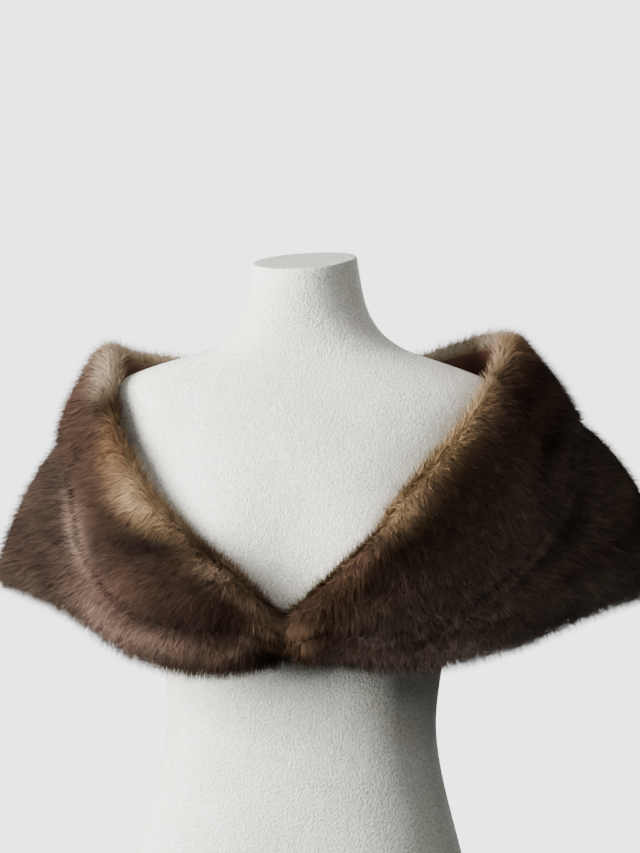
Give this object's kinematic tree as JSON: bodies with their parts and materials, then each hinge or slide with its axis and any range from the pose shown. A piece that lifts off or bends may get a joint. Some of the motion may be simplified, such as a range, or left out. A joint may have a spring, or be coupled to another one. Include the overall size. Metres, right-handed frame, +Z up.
{
  "type": "fur cape on a limbless dress form",
  "caption": "Short shaggy-edged fur cape with a wide rolled shawl collar that meets at the front, worn on a plain white limbless dress form.",
  "frame": {"origin": "middle of the dress form's flat base, on the surface that it stands on", "axes": "+Z up the form; the form and cape face -Y; +X is the wearer's left"},
  "size_m": [0.6649, 0.3194, 0.7189],
  "materials": {
    "painted_form": "white paint over pebbled papier-mache, matt",
    "body_fur": "dark brown mink fur, glossy guard hair over dense underfur",
    "collar_fur": "brown mink fur, tan along the roll and darker along the back stripes",
    "satin": "dark reddish-brown satin lining"
  },
  "bodies": {
    "root": {"dress_form": "painted_form", "body_back": "body_fur", "body_left_front": "body_fur", "body_right_front": "body_fur", "collar_back": "collar_fur", "collar_left_front": "collar_fur", "collar_right_front": "collar_fur", "lining_back": "satin", "lining_left_front": "satin", "lining_right_front": "satin"}
  },
  "joints": []
}
